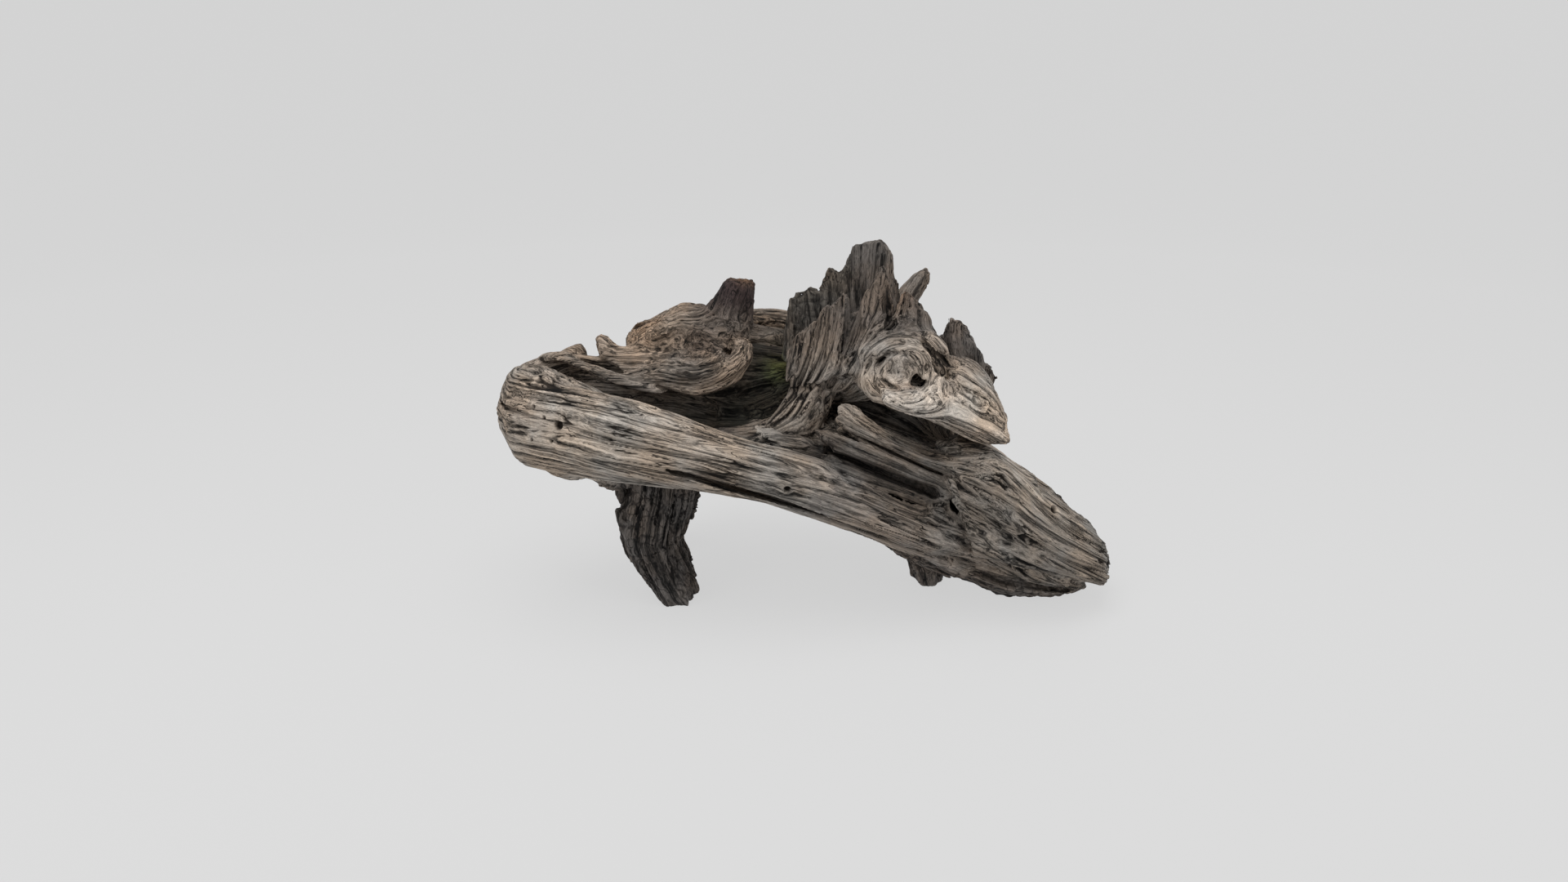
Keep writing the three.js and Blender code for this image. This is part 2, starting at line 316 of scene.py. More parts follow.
# torn plates: the foot and the torn edge of each station, then half sizes at both and how softly it joins
tornPlates = {
    "backPlate": ([(45, 57, 66, 46, 58, 83.5), (48, 57, 66, 48.5, 59, 86), (50, 57, 66, 50.3, 60, 85),
                   (52, 57, 66, 52.2, 61, 92), (54, 57, 66, 54, 61, 90), (56, 57, 66, 56, 61, 97.5),
                   (58, 56, 66, 58.5, 60, 99.5), (60.5, 54, 66, 60.6, 57.5, 100)], 1.5, 0.8, 0.3),
    "leftPlate": ([(45.5, 40, 60, 46, 43, 74), (48, 39, 62, 48.3, 43, 77.5), (51, 38, 64, 51.3, 43, 82),
                   (54.2, 38, 66, 54.5, 43, 87.5)], 1.2, 0.5, 0.3),
    "middlePlate": ([(57, 38, 72, 57, 43, 84), (58.6, 37, 73, 58.6, 42, 90),
                     (60.2, 37, 74, 60, 42, 93)], 1, 0.5, 0.3),
    "shoulderPlate": ([(61.8, 38, 74, 62, 42, 82), (63.6, 37, 74, 64, 41, 87.5), (65.4, 38, 73, 65.6, 41, 85),
                       (67.4, 39, 71, 67.6, 42, 79.5)], 1.1, 0.5, 0.3),
    "finPlate": ([(71, 46, 62, 71.6, 48, 79.5), (73.5, 46, 60, 74, 48, 77), (76, 45, 57, 77, 47, 70),
                  (77.5, 44, 55, 79.4, 46, 63)], 1.6, 0.9, 0.3),
}
# hollows cut before anything is added: stations, then how softly the edge turns
recesses = {
    "plankRecess": ([(50, 10, 51, 1.2, 3), (53, 8, 48, 2.0, 4.6), (58, 7, 45, 2.6, 5.8),
                     (64, 7, 40.6, 3.3, 6.2), (69.5, 8, 36.4, 3.2, 6)], 0.3),
    "underBlock": ([(66, 8, 19, 1.6, 4.6), (72, 8, 15.6, 2.8, 6.2), (79, 9, 12, 2.8, 6.2),
                    (86, 12, 7.6, 2.4, 5.6)], 0.3),
    "humpTrim": ([(19.6, 60, 79, 2.4, 10), (22, 60, 79.8, 2.8, 12), (25.5, 60, 83.2, 2.8, 12),
                  (28.5, 60, 87, 2.4, 10)], 0.8),
    "troughMouth": ([(14, 36, 62, 1.4, 2.4), (24, 33, 58, 1.8, 2.8), (34, 32, 53.5, 1.6, 2.6)], 0.6),
}
# forms that the plain body leaves out
addedForms = {
    "humpSkirt": ([(19, 54, 62, 2.2, 5), (26, 53, 65, 3, 6), (32, 52, 66, 3, 6), (36, 54, 66, 2.6, 4)], 1.0),
    "hornFlare": ([(31.5, 60, 66, 3.4, 4), (34, 61, 73, 4.0, 3.4), (36.4, 63, 80, 3.5, 2.6),
                   (38.2, 66, 87.6, 2.5, 1.8)], 0.8),
    "swirlBrow": ([(57, 40, 70, 1.6, 3), (61, 36, 74, 2, 3.4), (66, 36, 75, 2, 3.4),
                   (70, 38, 70, 1.6, 3)], 1.0),
    "swirlKnot": ([(61, 32, 69, 1.6, 2), (64, 29, 71, 2.8, 3), (67, 32, 70, 1.8, 2)], 0.8),
    "cheek": ([(69, 38, 68, 1.6, 2.4), (73, 38, 66, 2.4, 3), (76, 37, 61, 2, 3), (78, 36, 55, 1.2, 2)], 0.6),
    "cheekFold": ([(68, 30, 66, 1, 1.6), (72, 29, 64, 1.3, 2), (75, 30, 60, 1.3, 2),
                   (78, 32, 54, 0.8, 1.4)], 0.5),
    "plankOne": ([(50, 25, 53, 0.8, 2.4), (57, 21, 48.5, 0.9, 3), (64, 20, 43.6, 0.9, 3),
                  (72, 21, 38.5, 0.8, 2.4)], 0.3),
    "plankTwo": ([(50, 22, 47.4, 0.7, 2), (57, 19, 42.8, 0.8, 2.4), (65, 18, 37.4, 0.8, 2.4),
                  (71, 20, 33, 0.7, 2)], 0.3),
    "plankThree": ([(58, 17, 38.6, 0.6, 1.6), (64, 16, 33.8, 0.7, 2), (70, 18, 29.4, 0.6, 1.6)], 0.3),
    "stubBridge": ([(64, 26, 24, 1.4, 3), (69, 28, 18, 2, 4), (76, 28, 12, 2, 4), (84, 27, 6, 1.6, 3)], 0.8),
    "rootRim": ([(3, 34, 64, 2.4, 3), (7, 28, 67.4, 2, 2.8), (12, 24, 64.6, 2, 2.8), (18, 19, 61.2, 1.8, 2.4),
                 (25, 15, 57.2, 1.2, 2)], 0.9),
    "eyeFill": ([(60, 22.5, 64.5, 1.8, 3), (65, 21.5, 62.6, 2.2, 3.4), (70, 22, 60, 1.8, 3)], 1.2),
    "shelf": ([(62, 40, 20, 2.4, 3.4), (67, 38, 15, 2.8, 4), (74, 36, 10, 2.6, 4), (83, 35, 6, 2.4, 4),
               (88, 36, 4, 2, 4)], 0.8),
    "noseTip": ([(72, 30, 60, 2.4, 3), (75.5, 29, 55, 2, 3.4), (78.3, 29, 50.8, 1.4, 3),
                 (79.6, 30, 49, 0.9, 2)], 0.6),
    "lipOne": ([(6, 43, 69, 0.5, 0.8), (10, 43, 69, 0.8, 1.6), (15, 42, 66, 0.8, 1.8),
                (21, 42, 62.4, 0.6, 1.6), (26, 42, 59.5, 0.3, 1)], 0.4),
    "lipTwo": ([(14.5, 54, 73, 0.5, 0.8), (18, 49, 67, 0.9, 1.6), (24, 46, 63.4, 1.0, 1.8),
                (31, 44, 60.6, 1.0, 1.8), (36.5, 46, 62.5, 0.9, 1.6), (38.6, 51, 67.5, 0.7, 1.2)], 0.5),
    "hem": ([(40.5, 24, 54, 0.5, 1.6), (45, 20, 51.6, 0.8, 2.4), (49.5, 19, 50.4, 0.7, 2)], 0.5),
    "blockLip": ([(69.8, 11, 44, 0.7, 1), (71.3, 8, 38, 0.9, 1.2), (73.4, 7, 32, 0.8, 1.2),
                  (76, 7, 27, 0.5, 1)], 0.3),
    "kneeLeft": ([(19.4, 30, 40, 1.2, 1.6), (18.6, 30, 29, 1.6, 2), (20.4, 30, 20, 1.3, 1.8),
                  (23, 31, 12, 0.8, 1.4)], 0.4),
    "legShoulder": ([(12, 24, 48, 2.4, 3), (17, 25, 41.5, 2.6, 3), (20, 27, 36, 1.5, 2)], 0.6),
    "spikeCore": ([(62, 66, 76, 1.6, 1.2), (65.5, 69, 81.5, 1.8, 1.1), (69, 72, 90, 0.8, 0.7)], 0.4),
    "shellUnder": ([(8, 50, 52, 2.2, 3), (14, 54, 49, 2.8, 4), (21, 56, 47, 2.8, 4)], 1.0),
}
blockForm = {                   # split off flat: each plane is a place on it and the way it faces
    "stations": [(66, 30, 36, 8, 10), (77, 31, 30, 12, 11), (86, 33, 22, 12, 11), (93, 36, 15, 10, 9),
                 (98.5, 39, 12, 6, 6)],
    "front": ((80, 9, 28), (-0.05, -1, 0.12)),
    "facet": ((83, 9, 28), (0.62, -0.55, 0.55)),
    "roof": ((90, 40, 28.5), (0.62, 0.05, 0.78)),
    "cliff": ((70, 15, 45), (-0.95, -0.1, -0.31)),
    "top": ((72, 15, 44), (0.15, -0.3, 1)),
    "under": ((80, 9, 20), (-0.25, -0.5, -1)),
    "end": ((98, 38, 14), (1, -0.15, 0.05)),
    "back": ((85, 48, 25), (0, 1, 0.2)),
    "blend": 0.2,
}
endTrim = {
    "from": (86, 50, 0),
    "planes": [((90, 40, 28), (0.62, 0, 0.78)), ((99.3, 38, 14), (1, -0.15, 0.1))],
}
carvedForms = {
    "rootGap": ([(38, 23, 53, 0.6, 1.4), (47, 21, 49.5, 1.0, 2), (56, 18, 40.4, 0.7, 2.2),
                 (64, 18, 35.8, 0.7, 2.2), (69, 19, 31.6, 0.5, 1.4)], 0.3),
    "plankGap": ([(52, 20, 55.6, 0.5, 2.6), (60, 17, 50, 0.7, 3.4), (67, 17, 44.6, 0.7, 3.4),
                  (70, 18, 42.4, 0.5, 2)], 0.25),
    "lowPlankGap": ([(50, 19, 50, 0.5, 2.4), (58, 17, 45, 0.6, 3), (67, 16, 39.4, 0.6, 3)], 0.25),
    "lipScoop": ([(54.5, 24, 60, 0.8, 2.4), (59, 20, 55.9, 1.2, 3.4), (64.4, 18, 51.2, 1.3, 3.4),
                  (69.6, 18, 47, 1.0, 3)], 0.2),
    "mouthGap": ([(53, 26, 60, 0.8, 3), (58, 22, 56.5, 1.0, 5), (64, 20, 51.5, 1.1, 6),
                  (70, 20, 48.5, 1.0, 6), (76.5, 22, 47.5, 0.8, 4)], 0.3),
    "eyeHole": ([(66, 10, 66, 0.9, 1.1), (65.4, 30, 67.4, 1.2, 1.5)], 0.3),
    "browGap": ([(54.5, 22, 66, 0.5, 1.6), (59, 20, 65.5, 0.7, 2), (62.5, 19, 66, 0.5, 1.6)], 0.3),
    "cheekGap": ([(66.5, 31, 76, 0.4, 1.6), (68.5, 28, 69.5, 0.8, 2), (70, 27, 67, 0.5, 1.4)], 0.3),
    "deepHollow": ([(36, 50, 56, 2, 3), (41.5, 50, 59, 3.4, 4.4), (43, 52, 66, 2.6, 3)], 0.6),
    "underLip": ([(17, 42, 61.5, 0.6, 1.6), (21, 41, 60, 0.9, 2), (27, 39, 58, 0.9, 2.2),
                  (33, 39, 56, 0.7, 2)], 0.3),
    "shellCavity": ([(7, 38, 66, 0.9, 1.8), (11, 38, 64.5, 1.3, 2.4), (16, 37, 61.5, 1.1, 2.4),
                     (21, 37, 59, 0.7, 2)], 0.3),
    "longFissure": ([(22, 5, 51.4, 0.3, 1), (30, 4, 47.7, 0.55, 1.8), (38, 4, 43, 0.6, 2),
                     (46, 5, 38.3, 0.5, 1.8), (54, 7, 32.8, 0.3, 1)], 0.2),
    "rootCrack": ([(7, 2, 52, 0.3, 1), (14, -1, 50.6, 0.45, 1.6), (22, -1, 47.6, 0.4, 1.6),
                   (29, 0, 44, 0.25, 1)], 0.2),
    "knobFissure": ([(1, 30, 60, 0.3, 1), (6, 12, 60.5, 0.5, 1.4), (13, 3, 57, 0.5, 1.4),
                     (21, 0, 52.5, 0.3, 1)], 0.2),
    "humpCavity": ([(24, 50, 72, 0.6, 1), (27, 49, 73.5, 0.9, 1.8), (30, 51, 76, 0.5, 1)], 0.3),
    "humpHole": ([(33.5, 50, 80, 0.4, 0.5), (33.5, 62, 78, 0.4, 0.5)], 0.2),
    "crestSplit": ([(55.2, 38, 70, 0.6, 2), (55.4, 41, 78, 0.9, 2.6), (55.8, 45, 87, 0.5, 1.8)], 0.3),
    "crestSlit": ([(61, 38, 85, 0.25, 1.2), (60.9, 42, 91, 0.35, 1.4), (60.8, 46, 97, 0.25, 1.2)], 0.2),
    "stepOne": ([(97, 24, 3, 1, 4), (99.5, 30, 6, 1.1, 5), (102, 38, 8, 1.1, 5)], 0.2),
    "shelfGap": ([(72, 14, 15, 0.5, 2), (80, 14, 10, 0.9, 4), (88, 16, 6.5, 1.1, 5),
                  (94, 18, 4, 0.9, 5)], 0.3),
}
bores = {                       # mouth of each borer hole, which way it goes in, and its half size in metres
    "root": ((45.5, -3, 43.5), (0, 1, -0.1), 0.0042),
    "knobA": ((6.5, 4, 64), (0.3, 1, -0.2), 0.0022),
    "knobB": ((8.6, 2, 61.5), (0.2, 1, -0.2), 0.0020),
    "knobC": ((9.6, -2, 54.5), (0.2, 1, 0), 0.0018),
    "knobD": ((5.6, 2, 54), (0.4, 1, 0), 0.0020),
    "knobE": ((11.2, -1, 59.5), (0.1, 1, -0.1), 0.0050),
    "block": ((88.5, 18, 34), (-0.3, 1, -0.9), 0.0045),
    "backA": ((48, 104, 50), (0, -1, -0.1), 0.0040),
    "backB": ((35, 103, 58), (0.1, -1, -0.2), 0.0030),
}


def addForms():
    for stations, blend in recesses.values():
        carve(body, rootForm(stations), hundredths(blend))
    for stations, blend in addedForms.values():
        join(body, rootForm(stations), hundredths(blend))
    for stations, foot, edge, blend in tornPlates.values():
        join(body, sheetForm(stations, foot, edge), hundredths(blend))
    planes = [plane for plane in blockForm.values() if isinstance(plane, tuple)]
    join(body, rootForm(blockForm["stations"]), hundredths(blockForm["blend"]), planes)


def trimEnd():
    # the thick end broke off along two planes
    where = (slice(int((spot(endTrim["from"])[0, 0]) / voxel) - gridFirst[0], gridCount[0]),
             slice(0, gridCount[1]), slice(0, gridCount[2]))
    for plane in endTrim["planes"]:
        body[where] = np.maximum(body[where], planeDistance(where, *plane))


def carveForms():
    for stations, blend in carvedForms.values():
        carve(body, rootForm(stations), hundredths(blend))


addForms()
trimEnd()
carveForms()
print("forms added and carved")


# looks of the wood, and which way its grain runs
looks = {                       # colour, then how strong its ribs, splits, fine lines and cracked blocks are
    # painted light: the block's upward facet is paler than the block, as if lit from above
    "facet": ((0.320, 0.288, 0.256), 0.5, 0.3, 1.1, 0.0),
    "limb": ((0.275, 0.243, 0.214), 0.4, 0.45, 1.05, 0.0),
    "limbDark": ((0.185, 0.166, 0.152), 0.6, 0.8, 1.1, 0.1),
    "block": ((0.180, 0.163, 0.147), 0.7, 0.8, 1.1, 0.0),
    # partly the wood's own dark brown, partly painted shade on the leg and the low parts under the trunk
    "leg": ((0.085, 0.074, 0.068), 0.9, 0.8, 0.9, 0.8),
    "hump": ((0.250, 0.200, 0.160), 0.5, 0.4, 0.9, 0.35),
    "horn": ((0.030, 0.019, 0.019), 0.6, 0.4, 1.0, 0.0),
    "spike": ((0.150, 0.131, 0.117), 0.25, 0.0, 1.0, 0.0),
    "lip": ((0.250, 0.210, 0.178), 0.3, 0.3, 1.0, 0.0),
    # partly the wood's own brown, partly painted shade inside the trough
    "trough": ((0.070, 0.058, 0.050), 0.2, 0.2, 0.7, 0.0),
    # painted shade: near-black colour for the deep hollow and the recess
    "hollowShade": ((0.050, 0.047, 0.037), 0.2, 0.2, 0.5, 0.1),
    "crest": ((0.118, 0.102, 0.092), 0.8, 0.6, 1.05, 0.0),
    "crestDark": ((0.085, 0.074, 0.064), 0.3, 0.1, 0.7, 0.6),
    "pale": ((0.410, 0.362, 0.320), 0.3, 0.15, 1.25, 0.0),
    "swirl": ((0.275, 0.242, 0.214), 0.3, 0.3, 1.2, 0.0),
    "planks": ((0.060, 0.052, 0.047), 0.9, 0.8, 1.0, 0.5),
    "slab": ((0.125, 0.110, 0.098), 0.7, 0.5, 1.0, 0.1),
    "edge": ((0.150, 0.133, 0.117), 0.5, 0.4, 1.0, 0.0),
    "column": ((0.235, 0.205, 0.178), 0.9, 0.5, 1.0, 0.0),
    "hidden": ((0.170, 0.152, 0.136), 0.8, 0.7, 1.0, 0.15),
}
grainRuns = {                   # places along each run, its reach in hundredths of the length, and its look
    "frontRoot": ([(14, 56, 60), (8, 52, 61), (3.8, 42, 58), (4, 29, 55), (12, 18, 55), (20, 13, 53),
                   (31, 11, 49), (44, 11, 43)], 6, "limb"),
    "frontRootEnd": ([(44, 11, 43), (56, 13, 36), (66, 17, 28), (73, 22, 22)], 4.5, "limbDark"),
    "endBlock": ([(74, 16, 36), (80, 18, 30), (88, 24, 21), (99, 36, 10)], 7.5, "block"),
    # painted light on the block's upward facet
    "endFacet": ([(80, 24, 46), (85, 22, 35), (89, 24, 28), (95, 30, 18)], 4.5, "facet"),
    "endShelf": ([(64, 36, 17), (74, 28, 7), (84, 26, 2), (93, 32, 0)], 3.6, "leg"),
    # painted shade in the recess between hump and crest
    "recess": ([(38, 68, 64), (47, 68, 62)], 4, "hollowShade"),
    "farRim": ([(33, 76, 70), (40, 84, 72), (50, 82, 70)], 2.5, "hump"),
    "leftLeg": ([(25, 34, 46), (24, 34, 32), (22.5, 34, 20), (25, 34, 7), (27, 34, 0)], 6, "leg"),
    "rearLeg": ([(24, 66, 46), (22.5, 71, 28), (22, 78, 0)], 6, "hidden"),
    "rearRoot": ([(60, 82, 46), (72, 78, 38), (78, 80, 25), (82, 86, 0)], 6, "hidden"),
    "backWall": ([(15, 62, 52), (30, 78, 55), (46, 84, 52), (60, 82, 48), (74, 74, 36)], 9, "hidden"),
    "spur": ([(32, 74, 50), (26, 86, 45), (20, 97, 43)], 5, "hidden"),
    "hump": ([(17, 60, 65), (22, 61, 69), (28, 62, 70), (36, 62, 68)], 6, "hump"),
    "horn": ([(32, 58, 68), (35, 63, 74), (36.5, 65, 80), (38, 68, 88)], 5.2, "horn"),
    "upperLip": ([(13.5, 57, 74), (15.5, 55, 69), (20.5, 52, 66), (26, 49, 64), (31.5, 47, 62), (36, 48, 66),
                  (37.5, 52, 70), (36, 58, 73)], 3.5, "lip"),
    "innerShell": ([(6, 44, 65), (9, 49, 66), (14, 53, 63), (24, 54, 58), (33, 52, 53)], 3, "lip"),
    "innerWall": ([(9, 46, 59), (16, 47, 56), (24, 46, 53), (33, 45, 50)], 3.5, "trough"),
    "troughFloor": ([(10, 38, 56), (22, 34, 50), (33, 35, 46), (42, 34, 43)], 4.5, "trough"),
    # painted shade in the big hollow
    "hollowShade": ([(30, 52, 52), (38, 56, 50), (45, 58, 58)], 5, "hollowShade"),
    "column": ([(51, 48, 69), (48.5, 41, 58), (46, 35, 52), (42, 27, 47)], 4.5, "column"),
    "crestBackLeft": ([(47, 58, 64), (46, 60, 85)], 3.5, "crestDark"),
    "crestBackMiddle": ([(53, 58, 64), (52, 60, 90)], 3.5, "crestDark"),
    "crestBackRight": ([(60, 55, 64), (61, 58, 99)], 3.5, "crest"),
    "crestFrontLeft": ([(45, 42, 54), (48, 46, 64), (49, 47, 76)], 3.5, "crest"),
    "crestFrontMiddle": ([(51, 40, 58), (53, 42, 66), (54, 47, 84)], 3.5, "crest"),
    "crestFrontRight": ([(58, 39, 66), (59, 42, 76), (60, 46, 95)], 3.5, "crest"),
    "crestShoulder": ([(62, 38, 76), (64, 42, 80), (65, 45, 88)], 3.5, "crest"),
    "crestEnd": ([(72, 38, 68), (69, 42, 73), (68, 44, 80)], 3.5, "crest"),
    "brow": ([(53, 36, 62), (58, 30, 70), (63, 28, 75), (68, 29, 72), (73, 32, 66),
              (77, 34, 60)], 4, "swirl"),
    "snout": ([(57, 34, 60), (62, 24, 62), (68, 23, 58), (74, 25, 53), (80, 31, 48)], 5, "pale"),
    "lowerLip": ([(53, 33, 59), (56.5, 26, 54), (63, 22, 49), (69.5, 21, 44.5), (75, 23, 43.5),
                  (79, 30, 46)], 2.6, "edge"),
    "planks": ([(47, 24, 49), (57, 19, 42), (64, 18, 37), (70.5, 18, 32)], 4, "planks"),
    "slab": ([(52, 24, 54), (58, 20, 50), (64, 18, 46), (69, 17, 42)], 2.6, "slab"),
    "finLeft": ([(71, 50, 56), (72, 52, 79)], 4, "crest"),
    "finRight": ([(75, 48, 52), (76, 50, 73)], 4, "crest"),
    "spike": ([(63, 66, 76), (69, 72, 90)], 3, "spike"),
    "stub": ([(66.5, 42, 26), (69, 45, 0)], 3.5, "leg"),
}
# knots turn the grain round them: middle, facing, half size, strength, then their folds' height and spacing
knots = {
    "swirl": ((62.4, 25, 69.4), (0.1, -1, 0.3), 5.4, 9, 0.0032, 0.0145),
    "cheek": ((74.8, 27, 60), (0.4, -1, 0.6), 1.8, 4, 0.0012, 0.010),
    "humpFront": ((31, 48, 71), (0, -1, 0.7), 2.4, 4, 0.0026, 0.012),
    "humpSide": ((28.5, 50, 74), (0.1, -1, 0.7), 1.8, 4, 0.0022, 0.010),
    "humpTop": ((24, 54, 74), (0, -0.6, 1), 2.0, 3, 0.002, 0.011),
    "knob": ((11.2, 4, 59.5), (-0.1, -1, 0.2), 1.3, 2.5, 0, 0.01),
    "rootHole": ((45.5, 2, 43.5), (0, -1, 0.2), 0.9, 2, 0, 0.01),
    "backBurl": ((52, 98, 48), (0, 1, 0.2), 4.0, 4, 0.003, 0.014),
}
grainCell = 0.012
runMargin = 2.6                 # how far runs and knots are felt, in their own reach
knotMargin = 3


def grainField():
    # one small matrix for each cell of a coarse grid, so that a run and its reverse add up
    first = low - block["margin"]
    count = np.ceil((size + 2 * block["margin"]) / grainCell).astype(int) + 1
    axes = [first[k] + np.arange(count[k]) * grainCell for k in range(3)]
    cells = np.stack(np.meshgrid(*axes, indexing="ij"), -1).reshape(-1, 3)
    field = np.zeros((len(cells), 6), np.float32)
    field[:, 0] = 0.002
    kept = {name: np.array([*colour, *rest], np.float32) for name, (colour, *rest) in looks.items()}
    weights = np.full(len(cells), 1e-6, np.float32)
    looked = kept["hidden"] * weights[:, None]

    def lay(direction, weight, where):
        x, y, z = direction[:, 0], direction[:, 1], direction[:, 2]
        field[where] += np.stack([x * x, y * y, z * z, x * y, x * z, y * z], -1) * weight[:, None]

    for places, reach, look in grainRuns.values():
        path = curveThrough(spot(places), 2 * len(places) - 1)
        reach = hundredths(reach)
        margin = runMargin * reach
        where = np.flatnonzero(((cells > path.min(0) - margin) & (cells < path.max(0) + margin)).all(1))
        near = cells[where]
        start, step = path[:-1], np.diff(path, axis=0)
        t = np.clip(((near @ step.T) - (start * step).sum(1)) / (step * step).sum(1), 0, 1)
        gap = np.stack([np.linalg.norm(near - start[k] - t[:, k, None] * step[k], axis=1)
                        for k in range(len(step))], -1)
        closest = gap.argmin(1)
        best = gap[np.arange(len(near)), closest]
        direction = (step / np.linalg.norm(step, axis=1)[:, None])[closest]
        weight = np.exp(-(best / reach) ** 2)
        lay(direction, weight, where)
        weights[where] += weight ** 2
        looked[where] += kept[look] * (weight ** 2)[:, None]
    for middle, facing, half, strength, *_ in knots.values():
        centre, axis, half = spot(middle)[0], np.array(facing, float), hundredths(half)
        axis /= np.linalg.norm(axis)
        offset = cells - centre
        where = np.flatnonzero((np.abs(offset) < knotMargin * half).all(1))
        offset = offset[where]
        flat = offset - (offset @ axis)[:, None] * axis
        ring = np.cross(axis, flat)
        ring /= np.linalg.norm(ring, axis=1)[:, None] + 1e-9
        gap = np.linalg.norm(offset, axis=1) / half
        lay(ring, strength * np.exp(-gap ** 2), where)
    return first, field.reshape(*count, 6), (looked / weights[:, None]).reshape(*count, -1)


fieldFirst, field, lookField = grainField()
print("grain field laid")


def sample(grid, places, wrap):
    # straight-line blend of the eight nearest cells
    cell = np.floor(places)
    part = (places - cell).astype(np.float32)
    cell = cell.astype(np.int32)
    shape = grid.shape[:3]
    flatGrid = grid.reshape(shape[0] * shape[1] * shape[2], -1)
    ends, shares = [], []
    for axis, stride in enumerate((shape[1] * shape[2], shape[2], 1)):
        near, far = cell[:, axis], cell[:, axis] + 1
        if wrap:
            near, far = near & (shape[axis] - 1), far & (shape[axis] - 1)
        else:
            near, far = np.clip(near, 0, shape[axis] - 1), np.clip(far, 0, shape[axis] - 1)
        ends.append((near * stride, far * stride))
        shares.append((1 - part[:, axis], part[:, axis]))
    out = 0
    for i in (0, 1):
        for j in (0, 1):
            at, share = ends[0][i] + ends[1][j], shares[0][i] * shares[1][j]
            for k in (0, 1):
                out = out + flatGrid.take(at + ends[2][k], axis=0) * (share * shares[2][k])[:, None]
    return out


def lookAt(places):
    return sample(lookField, (places - fieldFirst) / grainCell, False)


def grainMatrix(places):
    return sample(field, (places - fieldFirst) / grainCell, False)


def follow(m, heading):
    # two rounds turn the heading onto the matrix's own direction, and keep its sense
    for _ in range(2):
        x, y, z = heading[:, 0], heading[:, 1], heading[:, 2]
        heading = np.stack([m[:, 0] * x + m[:, 3] * y + m[:, 4] * z,
                            m[:, 3] * x + m[:, 1] * y + m[:, 5] * z,
                            m[:, 4] * x + m[:, 5] * y + m[:, 2] * z], -1)
        heading /= np.linalg.norm(heading, axis=1)[:, None] + 1e-12
    return heading


def grainSeed(places):
    m = grainMatrix(places)
    rows = np.stack([m[:, [0, 3, 4]], m[:, [3, 1, 5]], m[:, [4, 5, 2]]], 1)
    longest = np.argmax(np.linalg.norm(rows, axis=2), axis=1)
    return follow(m, rows[np.arange(len(rows)), longest])


noiseSide = 64
noises = np.random.default_rng(7).standard_normal((6, noiseSide, noiseSide, noiseSide, 1)).astype(np.float32)
turned = np.array([[0.80, 0.60, 0], [-0.48, 0.64, 0.60], [0.36, -0.48, 0.80]], np.float32)


def noiseAt(which, places, cell):
    return sample(noises[which], places / cell, True)[:, 0]


def fibresInPart(places, cells, step, steps):
    # each noise is averaged along the grain, which draws it out into fibres
    spun = places @ turned.T
    totals = [noiseAt(which, spun, cell) for which, cell in cells]
    seed = grainSeed(places)
    for way in (1, -1):
        at, heading = places.copy(), seed * np.float32(way)
        for turn in range(steps):
            if turn % 2:
                heading = follow(grainMatrix(at), heading)
            at = at + heading * np.float32(step)
            spun = at @ turned.T
            fading = np.float32(0.5 + 0.5 * math.cos(math.pi * (turn + 1) / (steps + 1)))
            for k, (which, cell) in enumerate(cells):
                totals[k] += fading * noiseAt(which, spun, cell)
    return totals


def inParts(work, places, count=32, workers=4):
    # the places are shared out over a few workers
    parts = np.array_split(places.astype(np.float32), count)
    with ThreadPoolExecutor(workers) as pool:
        return list(pool.map(work, parts))


def fibres(places, cells, step, steps):
    done = inParts(lambda part: fibresInPart(part, cells, step, steps), places)
    totals = [np.concatenate([part[k] for part in done]) for k in range(len(cells))]
    return [t / t.std() for t in totals]


def smoothStep(low0, high0, value):
    t = np.clip((value - low0) / (high0 - low0), 0, 1)
    return t * t * (3 - 2 * t)


# strands: values that change quickly across the grain and slowly along it
strand = {
    "cells": (0.007, 0.007, 0.007, 0.020),
    "step": 0.0035,
    "steps": 6,
    "longStep": 0.015,
    "longSteps": 10,
    "reach": 0.0125,            # how far from the surface they are worked out
}
ribs = {
    "ribHeight": 0.0034,
    "broadHeight": 0.0030,
    "splitDepth": 0.0075,
    "splitFrom": 1.15,          # how rare the splits are, in deviations
    "splitTo": 2.3,
    "blockHeight": 0.0030,
    "blockCell": 0.0085,
    "blockWidth": 0.5,
}
folds = {
    "reach": 2.4,               # in half sizes of the knot
    "wander": 0.5,              # how uneven the rings are
    "wanderCell": 0.022,
    "fade": 1.25,               # in half sizes
    "below": 0.7,               # how much weaker they are below the knot
    "plainMiddle": (0.15, 0.6), # they start between these, in half sizes
}


def nearSurface(reach):
    where = np.flatnonzero(np.abs(body).ravel() < reach)
    index = np.stack(np.unravel_index(where, body.shape), -1)
    return where, (index + gridFirst) * voxel


def drawOut(whole, places):
    # averages the short fibres again, over a longer way along the grain
    total = sample(whole, places / voxel - gridFirst, False)
    seed = grainSeed(places)
    for way in (1, -1):
        at, heading = places, seed * np.float32(way)
        for turn in range(strand["longSteps"]):
            heading = follow(grainMatrix(at + heading * np.float32(strand["longStep"] / 2)), heading)
            at = at + heading * np.float32(strand["longStep"])
            fading = np.float32(0.5 + 0.5 * math.cos(math.pi * (turn + 1) / (strand["longSteps"] + 1)))
            total += fading * sample(whole, at / voxel - gridFirst, False)
    return total[:, :-1] / np.maximum(total[:, -1:], 0.5)


def makeStrands():
    where, places = nearSurface(strand["reach"])
    cells = [(which, cell) for which, cell in enumerate(strand["cells"])]
    values = np.stack(fibres(places, cells, strand["step"], strand["steps"]), -1)
    whole = np.zeros((body.size, len(cells) + 1), np.float32)
    whole[where, :-1] = values
    whole[where, -1] = 1                    # marks the cells that hold a value
    whole = whole.reshape(*body.shape, -1)
    values = np.concatenate(inParts(lambda part: drawOut(whole, part), places))
    whole.reshape(-1, len(cells) + 1)[where, :-1] = values / values.std(0)
    return whole, where, places


